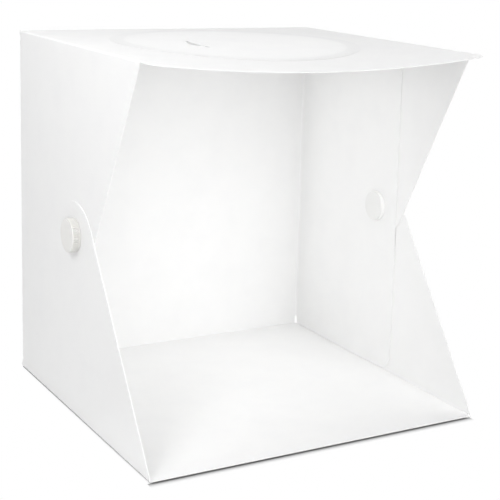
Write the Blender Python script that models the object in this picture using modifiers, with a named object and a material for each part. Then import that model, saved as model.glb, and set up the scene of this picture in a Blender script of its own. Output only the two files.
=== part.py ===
"""Fold-flat light tent: a cube of creased translucent sheet, open at the front.

The back stands on the floor's rear crease, the roof hangs forward from the back, and each side is
closed by three sheets: a wing from the back, a flap from the roof and a flap from the floor. A round
button in two magnet halves holds the three together. A cover lies over the round hatch in the roof.

Metres, +Z up, the open front faces -Y, and the origin is on the table under the tent's middle.
"""
import math

import bmesh
import bpy
from mathutils import Matrix, Vector

# The tent
WIDTH = 0.374            # across the outer faces of the two lower flaps
DEPTH = 0.364            # from the floor's front edge to the back panel's outer face
HEIGHT = 0.385           # from the table to the roof's outer face, at its sides
SHEET = 0.001            # thickness of the panels, and of the web in every crease
CLEAR = 0.0003           # gap between pieces that touch
CORNER_CUT = 0.004       # cut off the floor's rear corners, where three creases would meet

# Roof and hatch
ROOF_SETBACK = 0.006     # the roof's front edge behind the floor's
ROOF_OVERHANG = 0.028    # the roof's front edge ahead of the upper flaps' creases
ROOF_SAG = 0.011         # how far the middle of the front edge hangs down
ROOF_CORNER = 0.015      # radius of the roof's front corners
HATCH_RADIUS = 0.119     # round hole in the roof
HATCH_LAP = 0.015        # how far the cover lies over the roof around the hole
COVER = 0.0005           # thickness of the cover
HATCH_BEHIND = 0.021     # centre of the hole behind the tent's middle
SLIT_LENGTH = 0.055      # crescent thumb slit in the cover
SLIT_OPEN = 0.004
SLIT_BOW = 0.005
SLIT_LEFT = 0.0485       # from the hatch's centre to the slit's two ends
SLIT_AHEAD = 0.0065

# Side sheets
FLAP_PAST = 0.0343       # a flap's round end past the button's centre
FLAP_END_RADIUS = 0.0535
WING_AHEAD = 0.0376      # a wing's front edge ahead of the button's centre
WING_CORNER = 0.020      # radius of the wing's front corners
WING_FOOT = 0.0005       # gap under the wing, to the floor
WING_HEADROOM = 0.0035   # gap over the wing, to the roof's side
RELIEF_WIDTH = 0.0025    # cut away at the back panel's bottom corners
RELIEF_HEIGHT = 0.009

# Buttons
BUTTON_BEHIND = 0.008    # a button's centre, and the flaps' round ends, behind the tent's middle
CAP_RADIUS = 0.0175
CAP_HEIGHT = 0.0085
CAP_WALL = 0.0018
CAP_ROUNDING = 0.0008
CAP_RIM = 0.0006         # plain band between the cap's rounding and its grooves
FLANGE_LIP = 0.0005      # how far the cap's foot stands out past its side
FLANGE_HEIGHT = 0.0012
GROOVE_RADIUS = 0.0007
GROOVE_DEPTH = 0.0003
GROOVE_COUNT = 48
DISC_RADIUS = 0.017
DISC_HEIGHT = 0.005
DISC_ROUNDING = 0.0015
MAGNET_RADIUS = 0.0125
MAGNET_HEIGHT = 0.0025
MAGNET_SEAT = 0.002      # width of the shoulder that the cap's magnet sits on

# Smoothness of the round shapes
SEAM_SIDES = 16
BUTTON_SIDES = 48
HATCH_SIDES = 96
ARC_STEPS = 24
EDGE_STEPS = 3
ROOF_COLUMNS = 24
ROOF_ROWS = 12
SHARP_ANGLE = math.radians(40)
CUT_MERGE_SHARE = 0.01   # share of the sheet's thickness that still counts as one point

# Places that follow from the sizes above
LAYER = SHEET + CLEAR                  # from one sheet to the next
EDGE = SHEET / 2 + CLEAR               # from a crease's axis to the edge of a panel
LOWER_X = WIDTH / 2 - SHEET / 2        # middle planes of the side sheets, from the outside in
UPPER_X = LOWER_X - LAYER
WING_X = UPPER_X - LAYER
FLOOR_HALF = WIDTH / 2 - LAYER
BACK_HALF = FLOOR_HALF - LAYER         # half the width between the roof's creases, and of the back
BACK_FOOT_HALF = BACK_HALF - RELIEF_WIDTH
FRONT_Y = -DEPTH / 2
BACK_Y = DEPTH / 2 - SHEET / 2         # middle plane of the back panel
REAR_EDGE_Y = DEPTH / 2 - LAYER        # rear edge of the floor and of the roof
WING_SEAM_Y = REAR_EDGE_Y - SHEET / 2
FLAP_REAR_Y = REAR_EDGE_Y - CORNER_CUT           # rear corners of the flaps, and ends of their creases
ROOF_FRONT_Y = FRONT_Y + ROOF_SETBACK
UPPER_FRONT_Y = ROOF_FRONT_Y + ROOF_OVERHANG
FLOOR_Z = SHEET / 2                    # middle planes of the floor and of the roof at its sides
ROOF_Z = HEIGHT - SHEET / 2
BUTTON_Z = HEIGHT / 2
FLAP_REACH = BUTTON_Z + FLAP_PAST - LAYER        # from the crease side of a flap to its round end
WING_LENGTH = WING_SEAM_Y - EDGE - BUTTON_BEHIND + WING_AHEAD
WING_BOTTOM = SHEET + WING_FOOT
WING_TOP = HEIGHT - SHEET - WING_HEADROOM
WING_SEAM_BOTTOM = LAYER + RELIEF_HEIGHT
OVERRUN = 2 * ROOF_SAG                 # how far a cutter stands out past what it cuts

UPRIGHT_ACROSS = (math.pi / 2, 0, 0)             # a flat outline stood up facing the front
UPRIGHT_ALONG = (math.pi / 2, 0, math.pi / 2)    # a flat outline stood up facing the side
ALONG_X = (0, math.pi / 2, 0)                    # an upright rod laid across the tent
ALONG_Y = (math.pi / 2, 0, 0)                    # an upright rod laid front to back

# Colour, roughness and metallic value of each kind of material
LOOKS = {
    "sheet": ((0.88, 0.88, 0.88), 0.45, 0),
    "crease": ((0.84, 0.84, 0.84), 0.5, 0),
    "button": ((0.78, 0.78, 0.76), 0.3, 0),
    "magnet": ((0.62, 0.63, 0.65), 0.25, 1),
}


def clear_scene():
    """Remove whatever the file holds, so the script can be run again."""
    for thing in list(bpy.data.objects):
        bpy.data.objects.remove(thing, do_unlink=True)
    for group in list(bpy.data.collections):
        bpy.data.collections.remove(group)


def new_collection(name):
    """A collection linked to the scene."""
    group = bpy.data.collections.new(name)
    bpy.context.scene.collection.children.link(group)
    return group


def dress(piece, look):
    """Give a piece its own Principled material."""
    colour, roughness, metallic = LOOKS[look]
    material = bpy.data.materials.new(piece.name + "_" + look)
    material.use_nodes = True
    shader = material.node_tree.nodes["Principled BSDF"]
    shader.inputs["Base Color"].default_value = (*colour, 1)
    shader.inputs["Roughness"].default_value = roughness
    shader.inputs["Metallic"].default_value = metallic
    piece.data.materials.append(material)


def carry(thing, carrier):
    """Parent a thing, whose location is given in the tent's frame, to an unturned carrier."""
    if carrier:
        thing.parent = carrier
        thing.matrix_parent_inverse = Matrix.Translation(-Vector(carrier.location))


def add_joint(name, location, carrier=None):
    """An empty on a joint's axis; the pieces that move with the joint hang on it."""
    empty = bpy.data.objects.new(name, None)
    empty.empty_display_size = MAGNET_RADIUS
    empty.location = location
    PARTS.objects.link(empty)
    carry(empty, carrier)
    return empty


def add_piece(name, data, look, carrier, location, rotation=(0, 0, 0)):
    """A named sub-part of the tent."""
    piece = bpy.data.objects.new(name, data)
    piece.location = location
    piece.rotation_euler = rotation
    PARTS.objects.link(piece)
    dress(piece, look)
    carry(piece, carrier)
    return piece


def add_cutter(name, data, carrier, location, rotation=(0, 0, 0)):
    """A shape that only cuts; it moves with the piece that it cuts."""
    cutter = bpy.data.objects.new(name, data)
    cutter.location = location
    cutter.rotation_euler = rotation
    cutter.display_type = "WIRE"
    cutter.hide_render = True
    CUTTERS.objects.link(cutter)
    carry(cutter, carrier)
    return cutter


def cut(piece, cutter, operation="DIFFERENCE"):
    """Cut a piece with a cutter."""
    modifier = piece.modifiers.new(cutter.name, "BOOLEAN")
    modifier.object = cutter
    modifier.operation = operation
    modifier.solver = "EXACT"


def arc(centre, radius, start, end, steps):
    """Points on a circle's arc, both ends included; angles in radians."""
    turn = (end - start) / steps
    return [
        (centre[0] + radius * math.cos(start + turn * i), centre[1] + radius * math.sin(start + turn * i))
        for i in range(steps + 1)
    ]


def outline_curve(name, outline, thickness):
    """A closed flat outline, filled and extruded to a thickness about its own plane."""
    curve = bpy.data.curves.new(name, "CURVE")
    curve.dimensions = "2D"
    curve.fill_mode = "BOTH"
    curve.extrude = thickness / 2
    spline = curve.splines.new("POLY")
    spline.points.add(len(outline) - 1)
    for point, place in zip(spline.points, outline):
        point.co = (*place, 0, 1)
    spline.use_cyclic_u = True
    return curve


def outline_mesh(name, outline, thickness):
    """The same flat shape as a closed mesh, which can cut."""
    curve = outline_curve(name, outline, thickness)
    holder = bpy.data.objects.new(name, curve)
    bpy.context.scene.collection.objects.link(holder)
    mesh = bpy.data.meshes.new_from_object(holder.evaluated_get(bpy.context.evaluated_depsgraph_get()))
    bpy.data.objects.remove(holder, do_unlink=True)
    shape = bmesh.new()
    shape.from_mesh(mesh)
    bmesh.ops.remove_doubles(shape, verts=shape.verts, dist=SHEET * CUT_MERGE_SHARE)
    shape.to_mesh(mesh)
    shape.free()
    return mesh


def box_mesh(name, size):
    """A box about its own middle."""
    mesh = bpy.data.meshes.new(name)
    shape = bmesh.new()
    bmesh.ops.create_cube(shape, size=1)
    bmesh.ops.scale(shape, vec=size, verts=shape.verts)
    shape.to_mesh(mesh)
    shape.free()
    return mesh


def rod_mesh(name, radius, length, sides):
    """A round rod about its own middle, along its own Z."""
    mesh = bpy.data.meshes.new(name)
    shape = bmesh.new()
    bmesh.ops.create_cone(
        shape, cap_ends=True, segments=sides, radius1=radius, radius2=radius, depth=length
    )
    shape.to_mesh(mesh)
    shape.free()
    mesh.shade_smooth()
    mesh.set_sharp_from_angle(angle=SHARP_ANGLE)
    return mesh


def add_turned(name, profile, look, carrier, location, rotation):
    """A profile, given as radius and height from its axis to its axis, turned about its own Z."""
    mesh = bpy.data.meshes.new(name)
    points = [(radius, 0, height) for radius, height in profile]
    mesh.from_pydata(points, [(i, i + 1) for i in range(len(points) - 1)], [])
    piece = add_piece(name, mesh, look, carrier, location, rotation)
    screw = piece.modifiers.new("turn", "SCREW")
    screw.axis = "Z"
    screw.steps = BUTTON_SIDES
    screw.render_steps = BUTTON_SIDES
    screw.use_merge_vertices = True
    screw.merge_threshold = SHEET * CUT_MERGE_SHARE
    screw.use_smooth_shade = True
    return piece


def add_crease(name, length, carrier, location, rotation=(0, 0, 0)):
    """The thin web that joins two panels, as round as the sheet is thick, on the fold's axis."""
    web = rod_mesh(name, SHEET / 2, length, SEAM_SIDES)
    return add_piece(name, web, "crease", carrier, location, rotation)


def flap_outline(front, back, away):
    """A flap with a straight side from front to back and a round end; away is 1 for up, -1 for down."""
    centre = (BUTTON_BEHIND, EDGE + FLAP_REACH - FLAP_END_RADIUS)
    angles = []
    for corner, turn in ((front, -1), (back, 1)):
        reach = Vector((corner - centre[0], EDGE - centre[1]))
        toward = math.atan2(reach.y, reach.x) % math.tau
        angles.append(toward + turn * math.acos(FLAP_END_RADIUS / reach.length))
    start, end = angles[1] - math.tau, angles[0]
    points = [(front, EDGE), (back, EDGE)] + arc(centre, FLAP_END_RADIUS, start, end, ARC_STEPS)
    return [(along, away * height) for along, height in points]


def wing_outline():
    """A wing seen from the side, from its crease: two round front corners and a cut lower rear one."""
    rear = -EDGE
    front = rear - WING_LENGTH
    inset = front + WING_CORNER
    top_round = arc((inset, WING_TOP - WING_CORNER), WING_CORNER, math.pi / 2, math.pi, ARC_STEPS)
    low_round = arc((inset, WING_BOTTOM + WING_CORNER), WING_CORNER, math.pi, 1.5 * math.pi, ARC_STEPS)
    rear_side = [(rear - RELIEF_WIDTH, WING_BOTTOM), (rear, WING_SEAM_BOTTOM), (rear, WING_TOP)]
    return top_round + low_round + rear_side


def back_outline():
    """The back panel seen from the front, with its bottom corners cut away."""
    right = [
        (BACK_FOOT_HALF, LAYER),
        (BACK_FOOT_HALF, WING_SEAM_BOTTOM),
        (BACK_HALF, WING_SEAM_BOTTOM),
        (BACK_HALF, HEIGHT - LAYER),
    ]
    return right + [(-across, up) for across, up in reversed(right)]


def slit_outline():
    """A crescent between two arcs that meet at its ends; it bulges to the left."""
    half = SLIT_LENGTH / 2
    points = []
    for bow, way in ((SLIT_BOW + SLIT_OPEN / 2, 1), (SLIT_BOW - SLIT_OPEN / 2, -1)):
        radius = (half ** 2 + bow ** 2) / (2 * bow)
        spread = math.asin(half / radius)
        bend = arc((radius - bow, 0), radius, math.pi - way * spread, math.pi + way * spread, ARC_STEPS)
        points += bend[:-1]
    return points


def roof_corner_outline(sign):
    """What is cut away to round a front corner of the roof; that corner is the outline's origin."""
    bend = arc((-ROOF_CORNER, ROOF_CORNER), ROOF_CORNER, -math.pi / 2, 0, ARC_STEPS)
    points = bend + [(OVERRUN, ROOF_CORNER), (OVERRUN, -OVERRUN), (-ROOF_CORNER, -OVERRUN)]
    return [(sign * across, along) for across, along in points]


def roof_sag(x, y):
    """How far the roof hangs below its sides at a place; it hangs most in the middle of its front edge."""
    across = x / FLOOR_HALF
    ahead = (REAR_EDGE_Y - y) / (REAR_EDGE_Y - ROOF_FRONT_Y)
    return ROOF_SAG * (1 - across ** 2) * ahead ** 2


def add_hanging_sheet(name, carrier, level, thickness):
    """A sheet as large as the roof that hangs as the roof does, its upper face at level."""
    mesh = bpy.data.meshes.new(name)
    shape = bmesh.new()
    bmesh.ops.create_grid(shape, x_segments=ROOF_COLUMNS, y_segments=ROOF_ROWS, size=1)
    middle = (REAR_EDGE_Y + ROOF_FRONT_Y) / 2
    half_depth = (REAR_EDGE_Y - ROOF_FRONT_Y) / 2
    for point in shape.verts:
        x = point.co.x * FLOOR_HALF
        y = middle + point.co.y * half_depth
        point.co = (x, y, -roof_sag(x, y))
    shape.to_mesh(mesh)
    shape.free()
    piece = add_piece(name, mesh, "sheet", carrier, (0, 0, level))
    solidify = piece.modifiers.new("thickness", "SOLIDIFY")
    solidify.thickness = thickness
    solidify.offset = -1
    solidify.use_even_offset = True
    return piece


def cap_profile():
    """The button's outer half: a foot flange, a rounded face, and a pocket for the magnet over a hollow."""
    pocket = MAGNET_RADIUS + CLEAR
    hollow = MAGNET_RADIUS - MAGNET_SEAT
    seat = MAGNET_HEIGHT + CLEAR
    rim = (CAP_RADIUS - CAP_ROUNDING, CAP_HEIGHT - CAP_ROUNDING)
    flange = CAP_RADIUS + FLANGE_LIP
    return (
        [(0, CAP_HEIGHT)]
        + arc(rim, CAP_ROUNDING, math.pi / 2, 0, EDGE_STEPS)
        + [(CAP_RADIUS, FLANGE_HEIGHT), (flange, FLANGE_HEIGHT), (flange, 0), (pocket, 0), (pocket, seat)]
        + [(hollow, seat), (hollow, CAP_HEIGHT - CAP_WALL), (0, CAP_HEIGHT - CAP_WALL)]
    )


def disc_profile():
    """The button's inner half: a plain disc with a rounded rim and a pocket for the magnet."""
    pocket = MAGNET_RADIUS + CLEAR
    seat = MAGNET_HEIGHT + CLEAR
    rim = (DISC_RADIUS - DISC_ROUNDING, DISC_HEIGHT - DISC_ROUNDING)
    return (
        [(0, DISC_HEIGHT)]
        + arc(rim, DISC_ROUNDING, math.pi / 2, 0, EDGE_STEPS)
        + [(DISC_RADIUS, 0), (pocket, 0), (pocket, seat), (0, seat)]
    )


def groove_mesh(name):
    """A ring of upright rods that cut the grip grooves into a cap's side."""
    bottom = FLANGE_HEIGHT + CLEAR
    top = CAP_HEIGHT - CAP_ROUNDING - CAP_RIM
    reach = CAP_RADIUS - GROOVE_DEPTH + GROOVE_RADIUS
    mesh = bpy.data.meshes.new(name)
    shape = bmesh.new()
    for index in range(GROOVE_COUNT):
        place = Matrix.Rotation(math.tau * index / GROOVE_COUNT, 4, "Z")
        place = place @ Matrix.Translation((reach, 0, (bottom + top) / 2))
        bmesh.ops.create_cone(
            shape, cap_ends=True, segments=SEAM_SIDES // 2, radius1=GROOVE_RADIUS,
            radius2=GROOVE_RADIUS, depth=top - bottom, matrix=place,
        )
    shape.to_mesh(mesh)
    shape.free()
    return mesh


def add_button_half(names, profile, outward, face, carrier):
    """One half of a button and its magnet, against a sheet's face at x = face; outward is 1 for +X."""
    half_name, magnet_name = names
    turn = (0, outward * math.pi / 2, 0)
    foot = face + outward * CLEAR
    half = add_turned(half_name, profile, "button", carrier, (foot, BUTTON_BEHIND, BUTTON_Z), turn)
    magnet = rod_mesh(magnet_name, MAGNET_RADIUS, MAGNET_HEIGHT, BUTTON_SIDES)
    middle = foot + outward * MAGNET_HEIGHT / 2
    add_piece(magnet_name, magnet, "magnet", carrier, (middle, BUTTON_BEHIND, BUTTON_Z), turn)
    return half


def build_floor():
    """The floor panel and its three creases."""
    right = [(FLOOR_HALF, FRONT_Y), (FLOOR_HALF, FLAP_REAR_Y), (FLOOR_HALF - CORNER_CUT, REAR_EDGE_Y)]
    floor = outline_curve("floor_panel", right + [(-x, y) for x, y in reversed(right)], SHEET)
    add_piece("floor_panel", floor, "sheet", None, (0, 0, FLOOR_Z))
    add_crease("floor_back_crease", 2 * (FLOOR_HALF - CORNER_CUT), None, (0, BACK_Y, FLOOR_Z), ALONG_X)
    seam = FLAP_REAR_Y - FRONT_Y
    for side, sign in SIDES:
        middle = (sign * LOWER_X, (FLAP_REAR_Y + FRONT_Y) / 2, FLOOR_Z)
        add_crease(side + "_lower_crease", seam, None, middle, ALONG_Y)


def build_back(back_fold):
    """The back panel, with the crease to the roof and the two upright creases to the wings."""
    back = outline_curve("back_panel", back_outline(), SHEET)
    add_piece("back_panel", back, "sheet", back_fold, (0, BACK_Y, 0), UPRIGHT_ACROSS)
    add_crease("back_top_crease", 2 * BACK_HALF, back_fold, (0, BACK_Y, ROOF_Z), ALONG_X)
    for side, sign in SIDES:
        middle = (sign * WING_X, WING_SEAM_Y, (WING_SEAM_BOTTOM + WING_TOP) / 2)
        add_crease(side + "_wing_crease", WING_TOP - WING_SEAM_BOTTOM, back_fold, middle)


def build_roof(top_fold, hatch_lift):
    """The roof with its round hole and its side creases, and the hatch cover."""
    roof = add_hanging_sheet("top_panel", top_fold, HEIGHT, SHEET)
    hatch = (0, HATCH_BEHIND, HEIGHT)
    hole = rod_mesh("hatch_hole", HATCH_RADIUS, 2 * OVERRUN, HATCH_SIDES)
    cut(roof, add_cutter("hatch_hole", hole, top_fold, hatch))
    seam = FLAP_REAR_Y - UPPER_FRONT_Y
    slot_end = REAR_EDGE_Y + OVERRUN
    for side, sign in SIDES:
        slot = box_mesh(side + "_seam_slot", (OVERRUN, slot_end - UPPER_FRONT_Y, 2 * OVERRUN))
        corner = (sign * (BACK_HALF + OVERRUN / 2), (slot_end + UPPER_FRONT_Y) / 2, HEIGHT)
        cut(roof, add_cutter(side + "_seam_slot", slot, top_fold, corner))
        rounding = outline_mesh(side + "_roof_corner", roof_corner_outline(sign), 2 * OVERRUN)
        tip = (sign * FLOOR_HALF, ROOF_FRONT_Y, HEIGHT)
        cut(roof, add_cutter(side + "_roof_corner", rounding, top_fold, tip))
        middle = (sign * UPPER_X, (FLAP_REAR_Y + UPPER_FRONT_Y) / 2, ROOF_Z)
        add_crease(side + "_upper_crease", seam, top_fold, middle, ALONG_Y)

    cover = add_hanging_sheet("hatch_cover", hatch_lift, HEIGHT + CLEAR + COVER, COVER)
    rim = rod_mesh("hatch_rim", HATCH_RADIUS + HATCH_LAP, 2 * OVERRUN, HATCH_SIDES)
    cut(cover, add_cutter("hatch_rim", rim, hatch_lift, hatch), "INTERSECT")
    slit = outline_mesh("thumb_slit", slit_outline(), 2 * OVERRUN)
    slit_ends = (-SLIT_LEFT, HATCH_BEHIND - SLIT_AHEAD, HEIGHT)
    cut(cover, add_cutter("thumb_slit", slit, hatch_lift, slit_ends))


def build_side(side, sign, back_fold, top_fold):
    """The three sheets of one side, from the inside out, and the button that holds them."""
    wing_fold = add_joint(side + "_wing_fold", (sign * WING_X, WING_SEAM_Y, 0), back_fold)
    wing = outline_curve(side + "_wing", wing_outline(), SHEET)
    add_piece(side + "_wing", wing, "sheet", wing_fold, (sign * WING_X, WING_SEAM_Y, 0), UPRIGHT_ALONG)
    wing_face = sign * (WING_X - SHEET / 2)
    inner_names = (side + "_inner_disc", side + "_disc_magnet")
    add_button_half(inner_names, disc_profile(), -sign, wing_face, wing_fold)

    upper_axis = (sign * UPPER_X, 0, ROOF_Z)
    upper_fold = add_joint(side + "_upper_fold", upper_axis, top_fold)
    upper_outline = flap_outline(UPPER_FRONT_Y, FLAP_REAR_Y, -1)
    upper = outline_curve(side + "_upper_flap", upper_outline, SHEET)
    add_piece(side + "_upper_flap", upper, "sheet", upper_fold, upper_axis, UPRIGHT_ALONG)

    lower_axis = (sign * LOWER_X, 0, FLOOR_Z)
    lower_fold = add_joint(side + "_lower_fold", lower_axis)
    lower = outline_curve(side + "_lower_flap", flap_outline(FRONT_Y, FLAP_REAR_Y, 1), SHEET)
    add_piece(side + "_lower_flap", lower, "sheet", lower_fold, lower_axis, UPRIGHT_ALONG)
    lower_face = sign * (LOWER_X + SHEET / 2)
    outer_names = (side + "_button_cap", side + "_cap_magnet")
    cap = add_button_half(outer_names, cap_profile(), sign, lower_face, lower_fold)
    grooves = groove_mesh(side + "_grooves")
    cut(cap, add_cutter(side + "_grooves", grooves, lower_fold, cap.location, cap.rotation_euler))


def build():
    """Build the whole tent, set up as it stands in use."""
    build_floor()
    back_fold = add_joint("back_fold", (0, BACK_Y, FLOOR_Z))
    build_back(back_fold)
    top_fold = add_joint("top_fold", (0, BACK_Y, ROOF_Z), back_fold)
    hatch_lift = add_joint("hatch_lift", (0, HATCH_BEHIND, HEIGHT), top_fold)
    build_roof(top_fold, hatch_lift)
    for side, sign in SIDES:
        build_side(side, sign, back_fold, top_fold)


SIDES = (("left", -1), ("right", 1))
clear_scene()
PARTS = new_collection("light_tent")
CUTTERS = new_collection("light_tent_cutters")
build()
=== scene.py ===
# %% [markdown]
# # A fold-flat photo light tent
#
# The real object is one large sheet of translucent white plastic, about 1 mm thick, die-cut and creased
# like a carton. Folded up it makes a cube that is open at the front. Three sheets close each side, and a
# round button in two magnet halves holds them together.
#
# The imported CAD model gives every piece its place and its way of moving. This lesson loads it, builds a
# finer piece where the CAD solid is plain, and gives every surface its finish.

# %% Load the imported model
import math

import bmesh
import bpy
from mathutils import Matrix, Vector


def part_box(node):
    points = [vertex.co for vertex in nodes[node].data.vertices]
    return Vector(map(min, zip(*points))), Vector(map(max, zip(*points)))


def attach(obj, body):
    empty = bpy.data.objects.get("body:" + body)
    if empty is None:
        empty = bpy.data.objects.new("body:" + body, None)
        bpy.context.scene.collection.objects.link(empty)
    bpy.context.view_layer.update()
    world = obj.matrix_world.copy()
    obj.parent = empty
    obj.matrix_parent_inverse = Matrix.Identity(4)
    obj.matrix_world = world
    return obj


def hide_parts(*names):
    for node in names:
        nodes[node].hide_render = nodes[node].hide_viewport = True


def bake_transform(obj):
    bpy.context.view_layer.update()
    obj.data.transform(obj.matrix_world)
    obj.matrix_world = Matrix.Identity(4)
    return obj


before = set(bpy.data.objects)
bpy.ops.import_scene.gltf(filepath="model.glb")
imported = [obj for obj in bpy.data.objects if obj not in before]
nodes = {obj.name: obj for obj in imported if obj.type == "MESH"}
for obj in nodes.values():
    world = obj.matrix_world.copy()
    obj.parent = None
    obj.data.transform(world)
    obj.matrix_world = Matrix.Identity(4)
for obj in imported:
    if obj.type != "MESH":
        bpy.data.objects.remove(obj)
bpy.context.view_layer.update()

# %% [markdown]
# ## The camera
#
# The photo's corners give the camera: where it stood, how it was turned and how long its lens was. It
# could be turned by hand until the corners fit, but angles worked out from ten corners are exact and can be
# written down. The camera's axis meets the photo off its middle, so the lens is shifted a little.

# %% Camera
PHOTO_SIDE = 500                           # pixels, across and down
AXIS_IN_PHOTO = (300, 180)                 # pixel that the camera's axis meets
FOCAL_PIXELS = 1280
CAMERA_PLACE = (-0.6468, -1.1916, 0.5044)  # metres
AZIMUTH = math.radians(-31.15)             # to the left of the tent's front
ELEVATION = math.radians(11.07)
ROLL = math.radians(1.93)

back = Vector((
    math.sin(AZIMUTH) * math.cos(ELEVATION),
    -math.cos(AZIMUTH) * math.cos(ELEVATION),
    math.sin(ELEVATION),
))
level = Vector((0, 0, 1)).cross(back).normalized()
rise = back.cross(level)
right = math.cos(ROLL) * level + math.sin(ROLL) * rise
up = -math.sin(ROLL) * level + math.cos(ROLL) * rise

lens = bpy.data.cameras.new("camera")
lens.sensor_width = 36
lens.lens = FOCAL_PIXELS * lens.sensor_width / PHOTO_SIDE
lens.shift_x = (PHOTO_SIDE / 2 - AXIS_IN_PHOTO[0]) / PHOTO_SIDE
lens.shift_y = (AXIS_IN_PHOTO[1] - PHOTO_SIDE / 2) / PHOTO_SIDE
camera = bpy.data.objects.new("camera", lens)
camera.matrix_world = Matrix.Translation(CAMERA_PLACE) @ Matrix((right, up, back)).transposed().to_4x4()
bpy.context.scene.collection.objects.link(camera)
bpy.context.scene.camera = camera
print("lens", round(lens.lens, 2), "mm, shift", round(lens.shift_x, 3), round(lens.shift_y, 3))

# %% [markdown]
# ## Helpers for materials
#
# Colours are written as the hex values that a paint program shows, and the shader wants linear light. One
# function turns one into the other. A second one adds a node, sets it and links it, whatever its kind. Four
# short ones add what every material here has: a shader, a blend of two tones, a relief and a varying gloss.

# %% Colour and node helpers
def linear(hex_colour):
    """An sRGB hex colour as linear red, green, blue and alpha."""
    channels = [int(hex_colour[i:i + 2], 16) / 255 for i in (1, 3, 5)]
    return tuple(c / 12.92 if c <= 0.04045 else ((c + 0.055) / 1.055) ** 2.4 for c in channels) + (1,)


def add(tree, kind, inputs=None, **settings):
    """Add a node; an input is a value, or a linked (node, output name) pair."""
    node = tree.nodes.new(kind)
    for name, value in settings.items():
        setattr(node, name, value)
    for name, value in (inputs or {}).items():
        if isinstance(value, tuple) and isinstance(value[0], bpy.types.Node):
            tree.links.new(value[0].outputs[value[1]], node.inputs[name])
        else:
            node.inputs[name].default_value = value
    return node


def new_material(name):
    """A material with an empty node tree, and its output node."""
    material = bpy.data.materials.new(name)
    material.use_nodes = True
    material.node_tree.nodes.clear()
    return material, add(material.node_tree, "ShaderNodeOutputMaterial")


def add_shader(tree, output, inputs):
    """A Principled shader with these inputs, linked to the material's output."""
    shader = add(tree, "ShaderNodeBsdfPrincipled", inputs)
    tree.links.new(shader.outputs["BSDF"], output.inputs["Surface"])


def add_ramp(tree, value, tones, span=(0, 1)):
    """Blend two hex tones by a value, which goes from one to the other over a span; returns the colour."""
    ramp = add(tree, "ShaderNodeValToRGB", {"Fac": value})
    for element, tone, position in zip(ramp.color_ramp.elements, tones, span):
        element.position = position
        element.color = linear(tone)
    return ramp, "Color"


def add_bump(tree, height, bump):
    """A relief from a height; bump is its strength and its depth in metres."""
    return add(tree, "ShaderNodeBump", {"Height": height, "Strength": bump[0], "Distance": bump[1]}), "Normal"


def add_gloss(tree, value, gloss):
    """A roughness that a value moves between two ends."""
    return add(tree, "ShaderNodeMapRange", {"Value": value, "To Min": gloss[0], "To Max": gloss[1]}), "Result"


print("white paper:", [round(c, 3) for c in linear("#F4F4F4")])

# %% [markdown]
# ## The sheet: extruded polypropylene
#
# The sheet is extruded through a slot and rolled against a matte roller, so it has a fine even grain, faint
# lines along the way it was drawn, and a soft cloudiness. Light enters it, scatters and leaves on either
# side. Subsurface scattering does just that in a thin closed solid, and it keeps the plain white when the
# model is exported. Glass-like transmission would turn the tent into frosted glass.
#
# The grain is about 0.15 mm on the real sheet, too fine to show here, so it is drawn 0.9 mm wide.

# %% Sheet material
PP_IOR = 1.49
GRAIN = 0.0009            # metres; drawn coarser than the real 0.15 mm
CLOUD = 0.045             # metres between the cloudy patches
CLOUD_SPAN = (0.3, 0.7)   # the noise values between which its two tones blend
CLOUD_TONES = ("#F6F6F6", "#FAFAF9")
DRAW_LINE = 0.0035        # metres between the faint lines of extrusion
DRAW_LENGTH = 0.35        # metres that such a line runs
LINE_SHARE = 0.3          # share of those lines in the relief; the grain has the rest
SHEET_BUMP = (0.35, 0.00006)       # strength, and depth in metres
SHEET_GLOSS = (0.42, 0.52)         # roughness in the drawn lines and between them
SCATTER = 0.0004          # metres that light travels inside the sheet


def sheet_material(name, stretch, marks=()):
    """Polypropylene sheet; stretch is the real length of a grain mark along x, y and z.

    A mark is a function that adds nodes from the place and the colour so far, and returns the new colour,
    such as the cover's painted shade.
    """
    material, output = new_material(name)
    tree = material.node_tree
    place = add(tree, "ShaderNodeTexCoord")
    cloud = add(tree, "ShaderNodeTexNoise", {"Vector": (place, "Object"), "Scale": 1 / CLOUD, "Detail": 3})
    base = add_ramp(tree, (cloud, "Fac"), CLOUD_TONES, CLOUD_SPAN)
    for mark in marks:
        base = mark(tree, place, base)
    drawn = add(tree, "ShaderNodeMapping", {"Vector": (place, "Object"), "Scale": [1 / s for s in stretch]})
    lines = add(tree, "ShaderNodeTexNoise", {"Vector": (drawn, "Vector"), "Scale": 1, "Detail": 4})
    grain = add(tree, "ShaderNodeTexNoise", {"Vector": (place, "Object"), "Scale": 1 / GRAIN, "Detail": 2})
    height = add(
        tree, "ShaderNodeMix", {"Factor": LINE_SHARE, "A": (grain, "Fac"), "B": (lines, "Fac")},
        data_type="FLOAT",
    )
    bump = add_bump(tree, (height, "Result"), SHEET_BUMP)
    gloss = add_gloss(tree, (lines, "Fac"), SHEET_GLOSS)
    add_shader(tree, output, {
        "Base Color": base,
        "Roughness": gloss,
        "IOR": PP_IOR,
        "Subsurface Weight": 1.0,
        "Subsurface Radius": (1, 1, 1),
        "Subsurface Scale": SCATTER,
        "Normal": bump,
    })
    return material


SHEET_ALONG_Y = sheet_material("polypropylene_sheet_drawn_lengthwise", (DRAW_LINE, DRAW_LENGTH, DRAW_LINE))
SHEET_ALONG_Z = sheet_material("polypropylene_sheet_drawn_upright", (DRAW_LINE, DRAW_LINE, DRAW_LENGTH))
print("sheet materials:", SHEET_ALONG_Y.name, SHEET_ALONG_Z.name)

# %% [markdown]
# ## Die-cut sheets
#
# A steel rule cuts the sheet's outline and leaves a narrow edge, dulled by about a sixth of a millimetre.
# That small edge catches the light as a thin bright line, which a sharp one never does. Each sheet starts as
# a flat face in its middle plane, a Solidify modifier gives it its thickness, and a Bevel modifier dulls the
# edge. Each takes its size from the box of the CAD node that it stands for.

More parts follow.
